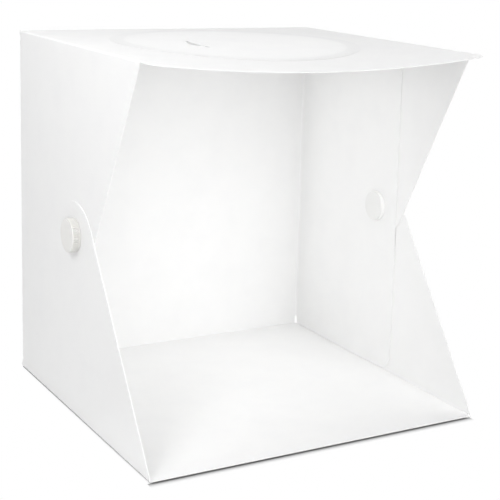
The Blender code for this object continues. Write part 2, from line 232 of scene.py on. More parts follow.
# %% Sheet helper
SHEET = 0.001             # metres
CUT_EDGE = 0.00016        # how far the cut edge is dulled
EDGE_ANGLE = math.radians(35)


def add_object(name, shape, material):
    """Make an object of a bmesh, with its faces turned outward and shaded smooth."""
    bmesh.ops.recalc_face_normals(shape, faces=shape.faces)
    mesh = bpy.data.meshes.new(name)
    shape.to_mesh(mesh)
    shape.free()
    mesh.materials.append(material)
    mesh.shade_smooth()
    piece = bpy.data.objects.new(name, mesh)
    bpy.context.scene.collection.objects.link(piece)
    return piece


def add_sheet(name, shape, material, body, node, gauge=SHEET):
    """Turn a flat bmesh into a sheet with dulled edges that rides on a body and replaces a CAD node."""
    piece = add_object(name, shape, material)
    thickness = piece.modifiers.new("thickness", "SOLIDIFY")
    thickness.thickness = gauge
    thickness.offset = 0
    thickness.use_even_offset = True
    edge = piece.modifiers.new("dulled_edge", "BEVEL")
    edge.width = CUT_EDGE
    edge.segments = 2
    edge.limit_method = "ANGLE"
    edge.angle_limit = EDGE_ANGLE
    edge.harden_normals = True
    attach(piece, body)
    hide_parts(node)


def flat_face(points):
    """A bmesh with one face through the points."""
    shape = bmesh.new()
    shape.faces.new([shape.verts.new(point) for point in points])
    return shape


def arc(centre, radius, start, end, steps):
    """Points on a circle's arc, both ends included; angles in radians."""
    turn = (end - start) / steps
    return [
        (centre[0] + radius * math.cos(start + turn * i), centre[1] + radius * math.sin(start + turn * i))
        for i in range(steps + 1)
    ]


# %% [markdown]
# ### Floor and back
#
# The floor's rear corners are cut off where three creases would meet. The back is a little narrower than the
# tent, because its side edges bend forward into the wings in a fold that is modelled further on.

# %% Floor and back sheets
CORNER_CUT = 0.004        # cut off the floor's rear corners
RELIEF_WIDTH = 0.0025     # cut away at a wing's lower rear corner
RELIEF_TOP = 0.0103       # height of that cut above the table

low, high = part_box("floor_panel")
middle = (low.z + high.z) / 2
right_side = [(high.x, low.y), (high.x, high.y - CORNER_CUT), (high.x - CORNER_CUT, high.y)]
outline = right_side + [(-x, y) for x, y in reversed(right_side)]
add_sheet(
    "floor_sheet", flat_face([(x, y, middle) for x, y in outline]), SHEET_ALONG_Y, "base", "floor_panel"
)

low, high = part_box("back_panel")
wing_low, wing_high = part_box("right_wing")
middle = (low.y + high.y) / 2
WING_FOLD = middle - wing_high.y                                  # from a wing's rear edge to the back
fold_start = (wing_low.x + wing_high.x) / 2 - WING_FOLD
right_side = [(fold_start, low.z), (fold_start, wing_high.z), (high.x, wing_high.z), (high.x, high.z)]
outline = right_side + [(-x, z) for x, z in reversed(right_side)]
add_sheet(
    "back_sheet", flat_face([(x, middle, z) for x, z in outline]), SHEET_ALONG_Z, "back", "back_panel"
)
print("back:", [round(v * 1000, 2) for v in (2 * high.x, high.z, WING_FOLD)], "mm")

# %% [markdown]
# ### The side sheets
#
# Each side has three sheets. The wing comes from the back, and has two round front corners. One flap hangs
# from the roof and one stands on the floor, and both taper to a round end around the button. A tapered flap
# is a straight base and a circle with the two lines that touch it. The touching points come from a little
# trigonometry, so the outline has no kink.
#
# A wing lies against the roof's flap, and below that flap it bends out further, onto the lower flap. To bend,
# its face is first cut into a grid, and each point of the grid moves out by its distance from the flap's end.
# The roof's flap bends out a little too, near the button. Where two sheets touch they press 0.15 mm into each
# other, because their dulled edges would otherwise leave a dark crevice between them.

# %% Side sheets
X, Y, Z = 0, 1, 2         # the axes
FLAP_END_RADIUS = 0.0535
WING_CORNER = 0.020
WING_DROP = 0.0003        # a wing's foot just clears the floor
WING_TOUCH = 0.00045      # how far a wing's front edge bends out to the roof's flap
WING_LEAN = 0.00175       # and its lower part to the lower flap
FLAP_LEAN = 0.00045       # how far the lower end of the roof's flap bends out to the lower flap
FLAP_STRAIGHT = 0.27      # the height above which it hangs straight
FLAP_BEND = 0.06          # and the height over which it bends
TOUCH_REAR = -0.012       # a wing's front edge bends out to the flap ahead of this place,
TOUCH_RUN = 0.018         # and fully this far ahead of it
LEAN_REACH = 0.022        # from the flap's round end to where the wing has bent fully
LEAN_REAR = 0.05          # a wing is straight behind this place,
LEAN_RUN = 0.06           # and bends fully this far ahead of it
GRID_STEP = 5             # millimetres between the cuts of the grids
WING_CUTS_Y = range(-35, 180, GRID_STEP)
WING_CUTS_Z = range(10, 375, GRID_STEP)
FLAP_CUTS_Z = range(160, 275, GRID_STEP)
BUTTON_Y = 0.008          # the buttons' centre behind the tent's middle
ROUND_STEPS = 64


def flap_points(low, high, upward):
    """The outline of a flap in y and z, with its straight base below (upward is 1) or above (-1)."""
    base, tip = (low.z, high.z) if upward > 0 else (high.z, low.z)
    centre = (BUTTON_Y, tip - upward * FLAP_END_RADIUS)
    angles = []
    for corner, turn in ((low.y, -1), (high.y, 1)):
        across, down = corner - centre[0], abs(base - centre[1])
        toward = math.atan2(-down, across) % math.tau
        angles.append(toward + turn * math.acos(FLAP_END_RADIUS / math.hypot(across, down)))
    rounded = arc((centre[0], 0), FLAP_END_RADIUS, angles[1] - math.tau, angles[0], ROUND_STEPS)
    return [(low.y, base), (high.y, base)] + [(y, centre[1] + upward * z) for y, z in rounded]


def wing_points(low, high):
    """The outline of a wing in y and z, with round front corners and its lower rear corner cut away."""
    inset = low.y + WING_CORNER
    top = arc((inset, high.z - WING_CORNER), WING_CORNER, math.pi / 2, math.pi, ROUND_STEPS // 2)
    foot = arc((inset, low.z + WING_CORNER), WING_CORNER, math.pi, 1.5 * math.pi, ROUND_STEPS // 2)
    return top + foot + [(high.y - RELIEF_WIDTH, low.z), (high.y, RELIEF_TOP), (high.y, high.z)]


def smooth_step(value):
    """A soft step from 0 to 1."""
    value = min(max(value, 0), 1)
    return value * value * (3 - 2 * value)


def cut_grid(shape, axis, values):
    """Cut a flat face across an axis at values in millimetres."""
    for value in values:
        place, square = Vector((0, 0, 0)), Vector((0, 0, 0))
        place[axis], square[axis] = value / 1000, 1
        geometry = shape.verts[:] + shape.edges[:] + shape.faces[:]
        bmesh.ops.bisect_plane(shape, geom=geometry, plane_co=place, plane_no=square)


def flap_lean(z):
    """How far the roof's flap stands out from its plane at a height."""
    return FLAP_LEAN * smooth_step((FLAP_STRAIGHT - z) / FLAP_BEND)


def lean_flap(shape, outward):
    """Bend the lower end of a roof's flap out."""
    cut_grid(shape, Z, FLAP_CUTS_Z)
    for point in shape.verts:
        point.co.x += outward * flap_lean(point.co.z)


def lean_wing(shape, outward):
    """Cut a wing's face into a grid and bend it out to the two flaps behind it."""
    cut_grid(shape, Y, WING_CUTS_Y)
    cut_grid(shape, Z, WING_CUTS_Z)
    flap_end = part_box("left_upper_flap")[0].z + FLAP_END_RADIUS
    for point in shape.verts:
        y, z = point.co.y, point.co.z
        past_flap = math.hypot(y - BUTTON_Y, z - flap_end) - FLAP_END_RADIUS if z < flap_end else 0
        touch = (WING_TOUCH + flap_lean(z)) * smooth_step((TOUCH_REAR - y) / TOUCH_RUN)
        lean = WING_LEAN * smooth_step(past_flap / LEAN_REACH) * smooth_step((LEAN_REAR - y) / LEAN_RUN)
        point.co.x += outward * max(touch, lean)


for side in ("left", "right"):
    for kind, material, body in (
        ("wing", SHEET_ALONG_Z, "_wing_body"),
        ("upper_flap", SHEET_ALONG_Y, "_upper_body"),
        ("lower_flap", SHEET_ALONG_Y, "_lower_body"),
    ):
        node = side + "_" + kind
        low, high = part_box(node)
        middle = (low.x + high.x) / 2
        if kind == "wing":
            outline = wing_points(low - Vector((0, 0, WING_DROP)), high)
        else:
            outline = flap_points(low, high, 1 if kind == "lower_flap" else -1)
        shape = flat_face([(middle, y, z) for y, z in outline])
        outward = 1 if side == "right" else -1
        if kind == "wing":
            lean_wing(shape, outward)
        elif kind == "upper_flap":
            lean_flap(shape, outward)
        add_sheet(node + "_sheet", shape, material, side + body, node)
        print(node, "at x =", round(middle * 1000, 2), "mm, outline of", len(outline), "points")

# %% [markdown]
# ### The roof and the hatch cover
#
# The roof's front edge is straight but unsupported, so it hangs down 11 mm in the middle. The sag grows with
# the square of the distance from the back, and falls off to nothing at the sides. A round hole takes up most
# of the roof, and a loose round cover with a crescent thumb slit lies over it.
#
# Cutting a hole with a boolean would leave long thin faces that shade badly on a curved sheet. Here rings of
# quads run from the hole's edge out to the roof's edge, so both edges are exact and the sag is smooth. The
# roof's front corners are rounded, and the outline's corners each get a ray of their own.

# %% Roof sheet
HATCH_RADIUS = 0.119
HATCH_LAP = 0.015         # how far the cover lies over the roof
HATCH_CENTRE = (0, 0.021)
ROOF_SAG = 0.011
ROOF_CORNER = 0.015       # radius of the roof's front corners
CORNER_STEPS = 12
RAYS = 240
RINGS = 20
PARALLEL = 1e-12          # below this a ray and an edge count as parallel
SLACK = 1e-9              # how far past its ends an edge still counts as met

low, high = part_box("top_panel")
ROOF_TOP = high.z
ROOF_HALF, ROOF_FRONT, ROOF_REAR = high.x, low.y, high.y
SEAM_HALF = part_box("back_panel")[1].x      # the roof is narrower along its side creases
SEAM_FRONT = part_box("left_upper_flap")[0].y


def sag(x, y):
    """How far the roof hangs below its sides at a place."""
    ahead = (ROOF_REAR - y) / (ROOF_REAR - ROOF_FRONT)
    return ROOF_SAG * (1 - (x / ROOF_HALF) ** 2) * ahead ** 2


def ringed_sheet(inner, outer, rings, level):
    """Quads from an inner to an outer closed line, hung by the roof's sag below a level."""
    shape = bmesh.new()
    rows = []
    for ring in range(rings + 1):
        share = ring / rings
        row = []
        for (x0, y0), (x1, y1) in zip(inner, outer):
            x, y = x0 + (x1 - x0) * share, y0 + (y1 - y0) * share
            row.append(shape.verts.new((x, y, level - sag(x, y))))
        rows.append(row)
    for row, following in zip(rows, rows[1:]):
        for i in range(len(row)):
            j = (i + 1) % len(row)
            shape.faces.new((row[i], row[j], following[j], following[i]))
    return shape


def to_outline(angle, outline):
    """Where a ray from the hatch's centre meets a closed outline."""
    origin, ray = Vector(HATCH_CENTRE), Vector((math.cos(angle), math.sin(angle)))
    best = None
    for start, end in zip(outline, outline[1:] + outline[:1]):
        edge = Vector(end) - Vector(start)
        turned = ray.x * edge.y - ray.y * edge.x
        if abs(turned) < PARALLEL:
            continue
        gap = Vector(start) - origin
        along = (gap.x * edge.y - gap.y * edge.x) / turned
        share = (gap.x * ray.y - gap.y * ray.x) / turned
        if along > 0 and -SLACK <= share <= 1 + SLACK and (best is None or along > best):
            best = along
    return tuple(origin + ray * best)


roof_outline = []
for centre_x, turn in ((ROOF_CORNER - ROOF_HALF, math.pi), (ROOF_HALF - ROOF_CORNER, 1.5 * math.pi)):
    bend_centre = (centre_x, ROOF_FRONT + ROOF_CORNER)
    roof_outline += arc(bend_centre, ROOF_CORNER, turn, turn + math.pi / 2, CORNER_STEPS)
roof_outline += [
    (ROOF_HALF, SEAM_FRONT), (SEAM_HALF, SEAM_FRONT), (SEAM_HALF, ROOF_REAR),
    (-SEAM_HALF, ROOF_REAR), (-SEAM_HALF, SEAM_FRONT), (-ROOF_HALF, SEAM_FRONT),
]
corner_angles = [math.atan2(y - HATCH_CENTRE[1], x - HATCH_CENTRE[0]) % math.tau for x, y in roof_outline]
even_angles = [math.tau * i / RAYS for i in range(RAYS)]
clearance = math.tau / RAYS / 3
angles = sorted(
    [a for a in even_angles if min(abs(a - c) for c in corner_angles) > clearance] + corner_angles
)
outer = [
    roof_outline[corner_angles.index(a)] if a in corner_angles else to_outline(a, roof_outline)
    for a in angles
]
inner = [
    (HATCH_CENTRE[0] + HATCH_RADIUS * math.cos(a), HATCH_CENTRE[1] + HATCH_RADIUS * math.sin(a))
    for a in angles
]
add_sheet(
    "roof_sheet", ringed_sheet(inner, outer, RINGS, ROOF_TOP - SHEET / 2), SHEET_ALONG_Y, "top", "top_panel"
)
print("roof rays:", len(angles), "front sag", round(sag(0, ROOF_FRONT) * 1000, 1), "mm")

# %% [markdown]
# ### The cover's painted shade
#
# The cover is a thinner piece of the same sheet, with painted shade on it in two places. Where it laps over
# the roof, two layers let less light through from inside, so that ring is painted a shade darker. Along the
# slit's lips a darker painted shade stands for the shadow in the slit.

# %% Hatch cover material
SLIT_HALF = 0.0275        # half the distance between the slit's two ends
SLIT_BOW = 0.005          # how far the slit bows off the line between them
SLIT_ENDS = (-0.0485, 0.0145)      # middle of that line
# the cover's painted shade: a ring on the lap, and a dark line along the thumb slit
EDGE_BLUR = 0.0004        # metres over which a mark fades in
LIP_WIDTH = 0.0013        # half the width of the mark along the slit
# painted shade of the lap, where two layers let less light through from inside
LAP_PAINTED_SHADE = linear("#F5F5F5")
# painted shade for the shadow in the thumb slit's gap
SLIT_PAINTED_SHADE = linear("#BEBEBE")


def bow_radius(bow):
    """The radius of an arc that runs between the slit's two ends and bows this far off their line."""
    return (SLIT_HALF ** 2 + bow ** 2) / (2 * bow)


def within(tree, place, centre, radius, half_width):
    """1 close to a circle on the roof, and 0 away from it."""
    out = add(tree, "ShaderNodeVectorMath", {0: place, 1: (*centre, 0)}, operation="DISTANCE")
    off = add(tree, "ShaderNodeMath", {0: (out, "Value"), 1: radius}, operation="SUBTRACT")
    off = add(tree, "ShaderNodeMath", {0: (off, "Value")}, operation="ABSOLUTE")
    return add(tree, "ShaderNodeMapRange", {
        "Value": (off, "Value"), "From Min": half_width + EDGE_BLUR, "From Max": half_width - EDGE_BLUR,
    })


def paint_lap_and_slit_shade(tree, place, base):
    """Paint shade on the colour: a little on the lap, and more along the two lips of the thumb slit."""
    flat = add(tree, "ShaderNodeMapping", {"Vector": (place, "Object"), "Scale": (1, 1, 0)})
    flat = (flat, "Vector")
    # painted shade on the lap ring
    lap = within(tree, flat, HATCH_CENTRE, HATCH_RADIUS + HATCH_LAP / 2, HATCH_LAP / 2)
    lap_painted_shade = add(tree, "ShaderNodeMix", {0: (lap, "Result"), 6: base, 7: LAP_PAINTED_SHADE}, data_type="RGBA")
    # painted shade along the thumb slit, for the shadow in its gap
    radius = bow_radius(SLIT_BOW)
    slit_centre = (SLIT_ENDS[0] + radius - SLIT_BOW, SLIT_ENDS[1])
    lips = within(tree, flat, slit_centre, radius, LIP_WIDTH)
    ends = within(tree, flat, SLIT_ENDS, 0, SLIT_HALF)
    lips = add(tree, "ShaderNodeMath", {0: (lips, "Result"), 1: (ends, "Result")}, operation="MULTIPLY")
    colours = {0: (lips, "Value"), 6: (lap_painted_shade, 2), 7: SLIT_PAINTED_SHADE}
    return add(tree, "ShaderNodeMix", colours, data_type="RGBA"), 2


COVER_SHEET = sheet_material(
    "polypropylene_cover_with_painted_shade", (DRAW_LINE, DRAW_LENGTH, DRAW_LINE), (paint_lap_and_slit_shade,)
)
print("slit radius:", round(bow_radius(SLIT_BOW) * 1000, 1), "mm")

# %% [markdown]
# ### The cover's shape
#
# Its quads start at the thumb slit instead of at a hole. The slit lies between two arcs that meet at its
# ends, one more bowed than the other. One lip is bent a little up and the other a little down.

# %% Hatch cover sheet
COVER = 0.0003            # the cover is a thinner sheet
COVER_GAP = 0.0001        # between it and the roof
COVER_RADIUS = HATCH_RADIUS + HATCH_LAP
SLIT_OPEN = 0.004
SLIT_STEPS = 48
LIP_REACH = 0.022         # a thumb has bent the slit's lips over this width,
LIP_RISE = 0.0009         # one a little up
LIP_DROP = 0.0007         # and one down


def slit_side(bow, turn):
    """Points along one side of the slit, from end to end."""
    radius = bow_radius(bow)
    spread = math.asin(SLIT_HALF / radius)
    points = arc((radius - bow, 0), radius, math.pi - turn * spread, math.pi + turn * spread, SLIT_STEPS)
    return [(SLIT_ENDS[0] + x, SLIT_ENDS[1] + y) for x, y in points[:-1]]


slit = slit_side(SLIT_BOW + SLIT_OPEN / 2, 1) + slit_side(SLIT_BOW - SLIT_OPEN / 2, -1)
slit_middle = Vector((SLIT_ENDS[0] - SLIT_BOW, SLIT_ENDS[1]))
rim = arc(HATCH_CENTRE, COVER_RADIUS, math.pi / 2, 2.5 * math.pi, len(slit))[:-1]
cover = ringed_sheet(slit, rim, RINGS * 2, ROOF_TOP + COVER_GAP + COVER / 2)
for point in cover.verts:
    across = point.co.x - slit_middle.x
    along_slit = (point.co.y - slit_middle.y) / SLIT_HALF
    if abs(along_slit) < 1 and abs(across) < LIP_REACH:
        lip = (1 - along_slit ** 2) * (1 - abs(across) / LIP_REACH) ** 2
        point.co.z += (LIP_RISE if across > 0 else -LIP_DROP) * lip
add_sheet("hatch_cover_sheet", cover, COVER_SHEET, "hatch", "hatch_cover", COVER)
print("cover across:", round(COVER_RADIUS * 2000, 1), "mm, slit points", len(slit))

# %% [markdown]
# ## The creases: living hinges
#
# A blunt rule presses the sheet thin along each fold, and the plastic there bends thousands of times without
# breaking. Its chains are drawn out along the fold, which whitens it a little and makes it smoother than the
# rest. Each crease is a narrow web that runs from one sheet's edge round to the other's.
#
# The web scatters much less than the sheet: light that leaks through something so thin would show as a dark
# line. At both ends it laps over the sheet's dulled edge, a hair thicker than the sheet, and closes the gap.

# %% Crease material
CRAZE = 0.0006            # metres between the fine marks across the fold
CREASE_TONES = ("#F8F8F8", "#FCFCFC")
CREASE_GLOSS = (0.28, 0.4)
CREASE_BUMP = (0.3, 0.00005)
CREASE_SCATTER = 0.15     # share of the light that enters the web


def crease_material(name):
    """The same plastic pressed thin: whiter, smoother, with fine marks across the fold."""
    material, output = new_material(name)
    tree = material.node_tree
    place = add(tree, "ShaderNodeTexCoord")
    marks = add(tree, "ShaderNodeTexNoise", {"Vector": (place, "Object"), "Scale": 1 / CRAZE, "Detail": 2})
    add_shader(tree, output, {
        "Base Color": add_ramp(tree, (marks, "Fac"), CREASE_TONES),
        "Roughness": add_gloss(tree, (marks, "Fac"), CREASE_GLOSS),
        "IOR": PP_IOR,
        "Subsurface Weight": CREASE_SCATTER,
        "Subsurface Radius": (1, 1, 1),
        "Subsurface Scale": SCATTER,
        "Normal": add_bump(tree, (marks, "Fac"), CREASE_BUMP),
    })
    return material


CREASE = crease_material("polypropylene_pressed_fold")
print("crease material:", CREASE.name)

# %% Crease webs
FOLD_REACH = 0.0008       # from a crease's axis to the edge of either sheet
WEB_STEPS = 12
WEB_LAP = 0.0004          # how far a web closes over the dulled edge of either sheet
WEB_AT_SHEET = 0.00102    # the web's thickness there
WEB_THINNEST = 0.0006     # and in the middle of the fold


def add_web(node, corner, toward_a, toward_b, ends, reach=FOLD_REACH):
    """A web round a corner, from sheet a to sheet b, along the line between two ends."""
    corner, toward_a, toward_b = Vector(corner), Vector(toward_a), Vector(toward_b)
    centre = corner + (toward_a + toward_b) * reach
    shape = bmesh.new()
    loops = []
    for end in ends:
        outside, inside = [], []
        for step in range(WEB_STEPS + 1):
            share = step / WEB_STEPS
            angle = share * math.pi / 2
            away = -toward_b * math.cos(angle) - toward_a * math.sin(angle)
            thin = math.sin(share * math.pi) ** 2
            half = (WEB_AT_SHEET + (WEB_THINNEST - WEB_AT_SHEET) * thin) / 2
            foot = centre + Vector(end)
            outside.append(shape.verts.new(foot + away * (reach + half)))
            inside.append(shape.verts.new(foot + away * (reach - half)))
        half = WEB_AT_SHEET / 2
        for toward, square, place in ((toward_a, toward_b, 0), (toward_b, toward_a, len(outside) + 1)):
            lap_painted_shade = corner + toward * (reach + WEB_LAP) + Vector(end)
            outside.insert(place, shape.verts.new(lap_painted_shade - square * half))
            inside.insert(place, shape.verts.new(lap_painted_shade + square * half))
        loops.append(outside + inside[::-1])
    first, last = loops
    count = len(first)
    for i in range(count):
        j = (i + 1) % count
        shape.faces.new((first[i], first[j], last[j], last[i]))
    for loop in loops:
        for step in range(WEB_STEPS + 2):
            shape.faces.new((loop[step], loop[step + 1], loop[-2 - step], loop[-1 - step]))
    piece = add_object(node.replace("crease", "web"), shape, CREASE)
    piece.data.set_sharp_from_angle(angle=EDGE_ANGLE)
    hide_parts(node)
    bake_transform(piece)


def middle_of(node):
    """The middle of a CAD node's box."""
    low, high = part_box(node)
    return (low + high) / 2


def along(node, axis):
    """The two ends of a crease along an axis, as offsets from its middle."""
    low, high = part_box(node)
    half = (high[axis] - low[axis]) / 2
    step = Vector([half if i == axis else 0 for i in range(3)])
    return (tuple(-step), tuple(step))


node = "floor_back_crease"
add_web(node, middle_of(node), (0, -1, 0), (0, 0, 1), along(node, X))
node = "back_top_crease"
add_web(node, middle_of(node), (0, 0, -1), (0, -1, 0), along(node, X))
for side, sign in (("left", -1), ("right", 1)):
    inward = (-sign, 0, 0)
    node = side + "_lower_crease"
    add_web(node, middle_of(node), inward, (0, 0, 1), along(node, Y))
    node = side + "_upper_crease"
    add_web(node, middle_of(node), inward, (0, 0, -1), along(node, Y))
    node = side + "_wing_crease"
    corner = middle_of(node)
    corner.y = middle_of("back_panel").y
    add_web(node, corner, inward, (0, -1, 0), along(node, Z), WING_FOLD)

# %% [markdown]
# ## The buttons
#
# Both halves are injection-moulded opaque plastic, next to the sheet a little warm. The mould's spark-eroded
# steel leaves an even satin. The face and the side of each half differ a little in tone, more than the lamps
# give, so the side is painted: painted shade on the cap's ribbed side, and a painted highlight on the disc's
# rounded side. The material blends the two pairs of tones by the distance from the tent's middle.

# %% Button material
ABS_IOR = 1.53
MOULD_GRAIN = 0.0005      # metres; drawn coarser than the real 0.1 mm
MOULD_FLOW = 90           # soft flow marks per metre
MOULD_GLOSS = (0.3, 0.38)
MOULD_BUMP = (0.4, 0.00005)
MOULD_SCATTER = (0.2, 0.0006)      # share of the light that enters, and metres that it travels
CAP_ROUNDING = 0.0008
CAP_EDGE = (1, 1.6)       # where the cap's face gives way to its side, in roundings from the face
# the cap's side tones are painted shade, darker than its face
CAP_FACE_AND_PAINTED_SHADE_TONES = (("#E6E5E2", "#EBEAE8"), ("#DAD9D6", "#DFDEDB"))       # of its face and of its side
DISC_ROUNDING = 0.0015
DISC_EDGE = (0.5, 1.2)
# the disc's side tones are a painted highlight, lighter than its face
DISC_FACE_AND_PAINTED_HIGHLIGHT_TONES = (("#EAEAE9", "#EEEEED"), ("#F9F9F8", "#FCFCFB"))


def moulded_material(name, tones, edge):
    """Opaque moulded plastic with painted light and shade on its side; tones are of the face and of the side,
    and edge is where one gives way.
    """
    material, output = new_material(name)
    tree = material.node_tree
    place = add(tree, "ShaderNodeTexCoord")
    grain = add(
        tree, "ShaderNodeTexNoise", {"Vector": (place, "Object"), "Scale": 1 / MOULD_GRAIN, "Detail": 2}
    )
    flow = add(tree, "ShaderNodeTexNoise", {"Vector": (place, "Object"), "Scale": MOULD_FLOW, "Detail": 2})
    # the side's pair of tones is painted shade on the cap and a painted highlight on the disc
    face, side = (add_ramp(tree, (flow, "Fac"), pair) for pair in tones)
    axes = add(tree, "ShaderNodeSeparateXYZ", {0: (place, "Object")})
    out = add(tree, "ShaderNodeMath", {0: (axes, "X")}, operation="ABSOLUTE")
    painted_side_share = add(tree, "ShaderNodeMapRange", {
        "Value": (out, "Value"), "From Min": edge[0], "From Max": edge[1],
    })
    colour = add(tree, "ShaderNodeMix", {0: (painted_side_share, "Result"), 6: face, 7: side}, data_type="RGBA")
    add_shader(tree, output, {
        "Base Color": (colour, 2),
        "Roughness": add_gloss(tree, (flow, "Fac"), MOULD_GLOSS),
        "IOR": ABS_IOR,
        "Subsurface Weight": MOULD_SCATTER[0],
        "Subsurface Radius": (1, 1, 1),
        "Subsurface Scale": MOULD_SCATTER[1],
        "Normal": add_bump(tree, (grain, "Fac"), MOULD_BUMP),
    })
    return material


cap_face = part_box("right_button_cap")[1].x
CAP_MOULDED = moulded_material(
    "abs_injection_moulded_cap", CAP_FACE_AND_PAINTED_SHADE_TONES, [cap_face - CAP_ROUNDING * share for share in CAP_EDGE]
)
disc_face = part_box("right_inner_disc")[0].x
DISC_MOULDED = moulded_material(
    "abs_injection_moulded_disc", DISC_FACE_AND_PAINTED_HIGHLIGHT_TONES, [disc_face + DISC_ROUNDING * share for share in DISC_EDGE]
)
print("button faces at x =", round(cap_face * 1000, 2), "and", round(disc_face * 1000, 2), "mm")

# %% [markdown]
# The CAD cap has round grooves for a grip. Here the same profile is turned in small steps, and the ribs are a
# wave in the mesh. The disc's rim reaches a little way down, because the wing under it bends out.

# %% Turned button halves
BUTTON_Z = 0.1925
CAP_RADIUS = 0.0175
CAP_HEIGHT = 0.0085
CAP_DISH = 0.0003         # the face is this much lower in its middle
CAP_DISH_POINTS = ((0.008, 0.7), (0.0145, 0.2))      # a radius, and the share of the dish left there
FLANGE_LIP = 0.0005
FLANGE_HEIGHT = 0.0012
FLANGE_ROUNDING = 0.0003
RIB_COUNT = 48
RIB_DEPTH = 0.0009
RIB_TOP = 0.0005          # from the cap's rounding down to the ribs
RIB_FOOT = 0.0003         # from its flange up to the ribs
RIB_END = 0.0003          # height over which a rib fades out at either end
DISC_RADIUS = 0.017
DISC_HEIGHT = 0.005
DISC_DISH = 0.0002
DISC_DISH_POINTS = ((0.009, 0.5),)
DISC_FOOT = -0.00025      # the disc's rim reaches down onto the wing
POCKET_RADIUS = 0.0128
POCKET_DEPTH = 0.0028
HOLLOW_RADIUS = 0.0105
CAP_WALL = 0.0018
TURN_STEPS = RIB_COUNT * 8
CAP_STEPS, FLANGE_STEPS, DISC_STEPS = 8, 4, 10       # along the roundings


def add_turned(name, profile, foot, outward, ribs, material, body, node):
    """Turn a profile of radius and height round the x axis from a foot; ribs is (low, high) in height."""
    shape = bmesh.new()
    rings = []
    for radius, height in profile:
        if radius == 0:
            rings.append([shape.verts.new(Vector(foot) + Vector((outward * height, 0, 0)))])
            continue
        ring = []
        for step in range(TURN_STEPS):
            angle = math.tau * step / TURN_STEPS
            r = radius
            if ribs and ribs[0] < height < ribs[1]:
                r -= RIB_DEPTH * (0.5 - 0.5 * math.cos(angle * RIB_COUNT))
            place = (outward * height, r * math.cos(angle), r * math.sin(angle))
            ring.append(shape.verts.new(Vector(foot) + Vector(place)))
        rings.append(ring)
    for ring, following in zip(rings, rings[1:]):
        for i in range(TURN_STEPS):
            j = (i + 1) % TURN_STEPS
            near = (ring[i % len(ring)], ring[j % len(ring)])
            far = (following[j % len(following)], following[i % len(following)])
            shape.faces.new(list(dict.fromkeys(near + far)))      # a triangle where a ring is one point
    piece = add_object(name, shape, material)
    piece.data.set_sharp_from_angle(angle=EDGE_ANGLE)
    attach(piece, body)
    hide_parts(node)


def dished_face(height, dish, points):
    """The radius and height of points on a face that is a little hollow."""
    return [(0, height - dish)] + [(radius, height - dish * share) for radius, share in points]


def rounding(radius, height, size, steps):
    """A quarter round from a face at a height to a side at a radius."""
    return arc((radius - size, height - size), size, math.pi / 2, 0, steps)


rib_top = CAP_HEIGHT - CAP_ROUNDING - RIB_TOP
rib_foot = FLANGE_HEIGHT + RIB_FOOT
cap_profile = (
    dished_face(CAP_HEIGHT, CAP_DISH, CAP_DISH_POINTS)
    + rounding(CAP_RADIUS, CAP_HEIGHT, CAP_ROUNDING, CAP_STEPS)
    + [(CAP_RADIUS, z) for z in (rib_top, rib_top - RIB_END, rib_foot + RIB_END, rib_foot, FLANGE_HEIGHT)]
    + rounding(CAP_RADIUS + FLANGE_LIP, FLANGE_HEIGHT, FLANGE_ROUNDING, FLANGE_STEPS)
    + [(CAP_RADIUS + FLANGE_LIP, 0), (POCKET_RADIUS, 0), (POCKET_RADIUS, POCKET_DEPTH)]
    + [(HOLLOW_RADIUS, POCKET_DEPTH), (HOLLOW_RADIUS, CAP_HEIGHT - CAP_WALL), (0, CAP_HEIGHT - CAP_WALL)]
)
disc_profile = (
    dished_face(DISC_HEIGHT, DISC_DISH, DISC_DISH_POINTS)
    + rounding(DISC_RADIUS, DISC_HEIGHT, DISC_ROUNDING, DISC_STEPS)
    + [(DISC_RADIUS, DISC_FOOT), (POCKET_RADIUS, DISC_FOOT), (POCKET_RADIUS, POCKET_DEPTH), (0, POCKET_DEPTH)]
)
ribbed = (rib_foot + RIB_END / 2, rib_top - RIB_END / 2)
for side, sign in (("left", -1), ("right", 1)):
    low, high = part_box(side + "_button_cap")
    foot = (low.x if sign > 0 else high.x, BUTTON_Y, BUTTON_Z)
    add_turned(
        side + "_ribbed_cap", cap_profile, foot, sign, ribbed,
        CAP_MOULDED, side + "_lower_body", side + "_button_cap",
    )
    low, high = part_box(side + "_inner_disc")
    foot = (high.x if sign > 0 else low.x, BUTTON_Y, BUTTON_Z)
    add_turned(
        side + "_plain_disc", disc_profile, foot, -sign, None,
        DISC_MOULDED, side + "_wing_body", side + "_inner_disc",
    )

# %% [markdown]
# ## The magnets
#
# A sintered magnet is plated with nickel, so that it doesn't rust: a bright, slightly yellow-grey metal with
# fine scuffs from handling. The CAD discs have the right shape, so they stay and get the metal.

# %% Magnet material
SCUFF = 0.0004            # metres between the scuffs
PLATED_GLOSS = (0.18, 0.34)
PLATED_BUMP = (0.2, 0.00002)


def plated_material(name):
    """Bright nickel plating with fine scuffs."""
    material, output = new_material(name)
    tree = material.node_tree
    place = add(tree, "ShaderNodeTexCoord")
    scuff = add(tree, "ShaderNodeTexNoise", {"Vector": (place, "Object"), "Scale": 1 / SCUFF, "Detail": 4})
    add_shader(tree, output, {
        "Base Color": linear("#CFCCC4"),
        "Metallic": 1.0,
        "Roughness": add_gloss(tree, (scuff, "Fac"), PLATED_GLOSS),
        "Normal": add_bump(tree, (scuff, "Fac"), PLATED_BUMP),
    })
    return material


NICKEL = plated_material("nickel_plated_magnet")
for side in ("left", "right"):
    for kind in ("cap_magnet", "disc_magnet"):
        magnet = nodes[side + "_" + kind]
        magnet.data.materials.clear()
        magnet.data.materials.append(NICKEL)
print("magnet material:", NICKEL.name)
